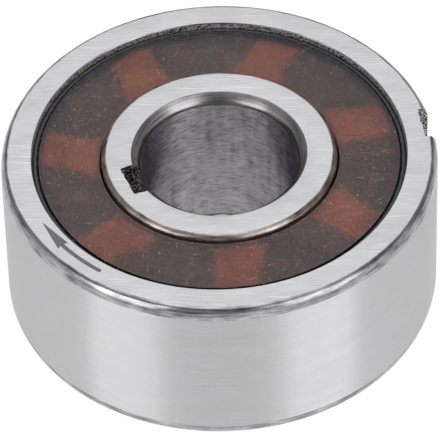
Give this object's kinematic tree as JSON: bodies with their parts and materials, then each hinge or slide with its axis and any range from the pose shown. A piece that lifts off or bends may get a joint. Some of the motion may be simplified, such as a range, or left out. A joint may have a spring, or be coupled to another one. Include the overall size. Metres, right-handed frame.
{
  "type": "sprag clutch",
  "caption": "One-way clutch bearing: sprags and balls alternate in a moulded cage between keyed steel inner and outer rings, closed by translucent shields.",
  "frame": {"origin": "centre of the bore, half way along it", "axes": "+Z along the bore axis, out of the face with the arrow; +X through the middle of the keyway in the outer ring"},
  "size_m": [0.022, 0.022, 0.009],
  "materials": {
    "ring_steel": "ground bearing steel",
    "ball_steel": "polished bearing steel",
    "sprag_steel": "drawn and polished bearing steel",
    "spring_steel": "rolled spring steel",
    "cage_polymer": "moulded red-brown polymer",
    "shield_polymer": "smoky translucent polymer, satin"
  },
  "bodies": {
    "outer_ring_set": {"outer_ring": "ring_steel", "shield_top": "shield_polymer", "shield_bottom": "shield_polymer"},
    "inner_ring_set": {"inner_ring": "ring_steel"},
    "cage_set": {"cage": "cage_polymer", "sprag_spring_1": "spring_steel", "sprag_spring_2": "spring_steel", "sprag_spring_3": "spring_steel", "sprag_spring_4": "spring_steel", "sprag_spring_5": "spring_steel", "sprag_spring_6": "spring_steel", "sprag_spring_7": "spring_steel"},
    "ball_1": {"ball_1": "ball_steel"},
    "ball_2": {"ball_2": "ball_steel"},
    "ball_3": {"ball_3": "ball_steel"},
    "ball_4": {"ball_4": "ball_steel"},
    "ball_5": {"ball_5": "ball_steel"},
    "ball_6": {"ball_6": "ball_steel"},
    "ball_7": {"ball_7": "ball_steel"},
    "sprag_1": {"sprag_1": "sprag_steel"},
    "sprag_2": {"sprag_2": "sprag_steel"},
    "sprag_3": {"sprag_3": "sprag_steel"},
    "sprag_4": {"sprag_4": "sprag_steel"},
    "sprag_5": {"sprag_5": "sprag_steel"},
    "sprag_6": {"sprag_6": "sprag_steel"},
    "sprag_7": {"sprag_7": "sprag_steel"}
  },
  "joints": [
    {"name": "inner_ring_spin", "type": "hinge", "parent": "outer_ring_set", "child": "inner_ring_set", "pos_m": [0, 0, 0], "axis": [0, 0, 1], "range_deg": [0, 3690]},
    {"name": "cage_spin", "type": "hinge", "parent": "outer_ring_set", "child": "cage_set", "pos_m": [0, 0, 0], "axis": [0, 0, 1], "range_deg": [0, 1356.9]},
    {"name": "ball_1_spin", "type": "hinge", "parent": "cage_set", "child": "ball_1", "pos_m": [0.00615, 0.0043, 0], "axis": [0, 0, 1], "range_deg": [-6484.7, 0]},
    {"name": "ball_2_spin", "type": "hinge", "parent": "cage_set", "child": "ball_2", "pos_m": [0.00047, 0.00749, 0], "axis": [0, 0, 1], "range_deg": [-6484.7, 0]},
    {"name": "ball_3_spin", "type": "hinge", "parent": "cage_set", "child": "ball_3", "pos_m": [-0.00556, 0.00504, 0], "axis": [0, 0, 1], "range_deg": [-6484.7, 0]},
    {"name": "ball_4_spin", "type": "hinge", "parent": "cage_set", "child": "ball_4", "pos_m": [-0.0074, -0.00121, 0], "axis": [0, 0, 1], "range_deg": [-6484.7, 0]},
    {"name": "ball_5_spin", "type": "hinge", "parent": "cage_set", "child": "ball_5", "pos_m": [-0.00367, -0.00654, 0], "axis": [0, 0, 1], "range_deg": [-6484.7, 0]},
    {"name": "ball_6_spin", "type": "hinge", "parent": "cage_set", "child": "ball_6", "pos_m": [0.00282, -0.00695, 0], "axis": [0, 0, 1], "range_deg": [-6484.7, 0]},
    {"name": "ball_7_spin", "type": "hinge", "parent": "cage_set", "child": "ball_7", "pos_m": [0.00719, -0.00213, 0], "axis": [0, 0, 1], "range_deg": [-6484.7, 0]},
    {"name": "sprag_1_rock", "type": "hinge", "parent": "cage_set", "child": "sprag_1", "pos_m": [0.0072, 0.00126, 0], "axis": [0, 0, 1], "range_deg": [-3, 0], "stiffness_Nm_per_rad": 0.00002, "springref_deg": 17.19},
    {"name": "sprag_2_rock", "type": "hinge", "parent": "cage_set", "child": "sprag_2", "pos_m": [0.00351, 0.00641, 0], "axis": [0, 0, 1], "range_deg": [-3, 0], "stiffness_Nm_per_rad": 0.00002, "springref_deg": 17.19},
    {"name": "sprag_3_rock", "type": "hinge", "parent": "cage_set", "child": "sprag_3", "pos_m": [-0.00283, 0.00674, 0], "axis": [0, 0, 1], "range_deg": [-3, 0], "stiffness_Nm_per_rad": 0.00002, "springref_deg": 17.19},
    {"name": "sprag_4_rock", "type": "hinge", "parent": "cage_set", "child": "sprag_4", "pos_m": [-0.00703, 0.00199, 0], "axis": [0, 0, 1], "range_deg": [-3, 0], "stiffness_Nm_per_rad": 0.00002, "springref_deg": 17.19},
    {"name": "sprag_5_rock", "type": "hinge", "parent": "cage_set", "child": "sprag_5", "pos_m": [-0.00594, -0.00426, 0], "axis": [0, 0, 1], "range_deg": [-3, 0], "stiffness_Nm_per_rad": 0.00002, "springref_deg": 17.19},
    {"name": "sprag_6_rock", "type": "hinge", "parent": "cage_set", "child": "sprag_6", "pos_m": [-0.00038, -0.0073, 0], "axis": [0, 0, 1], "range_deg": [-3, 0], "stiffness_Nm_per_rad": 0.00002, "springref_deg": 17.19},
    {"name": "sprag_7_rock", "type": "hinge", "parent": "cage_set", "child": "sprag_7", "pos_m": [0.00547, -0.00485, 0], "axis": [0, 0, 1], "range_deg": [-3, 0], "stiffness_Nm_per_rad": 0.00002, "springref_deg": 17.19}
  ],
  "couplings": [
    {"joint": "cage_spin", "follows": "inner_ring_spin", "ratio": 0.3677},
    {"joint": "ball_1_spin", "follows": "inner_ring_spin", "ratio": -1.7573},
    {"joint": "ball_2_spin", "follows": "inner_ring_spin", "ratio": -1.7573},
    {"joint": "ball_3_spin", "follows": "inner_ring_spin", "ratio": -1.7573},
    {"joint": "ball_4_spin", "follows": "inner_ring_spin", "ratio": -1.7573},
    {"joint": "ball_5_spin", "follows": "inner_ring_spin", "ratio": -1.7573},
    {"joint": "ball_6_spin", "follows": "inner_ring_spin", "ratio": -1.7573},
    {"joint": "ball_7_spin", "follows": "inner_ring_spin", "ratio": -1.7573},
    {"joint": "sprag_2_rock", "follows": "sprag_1_rock", "ratio": 1},
    {"joint": "sprag_3_rock", "follows": "sprag_1_rock", "ratio": 1},
    {"joint": "sprag_4_rock", "follows": "sprag_1_rock", "ratio": 1},
    {"joint": "sprag_5_rock", "follows": "sprag_1_rock", "ratio": 1},
    {"joint": "sprag_6_rock", "follows": "sprag_1_rock", "ratio": 1},
    {"joint": "sprag_7_rock", "follows": "sprag_1_rock", "ratio": 1}
  ]
}
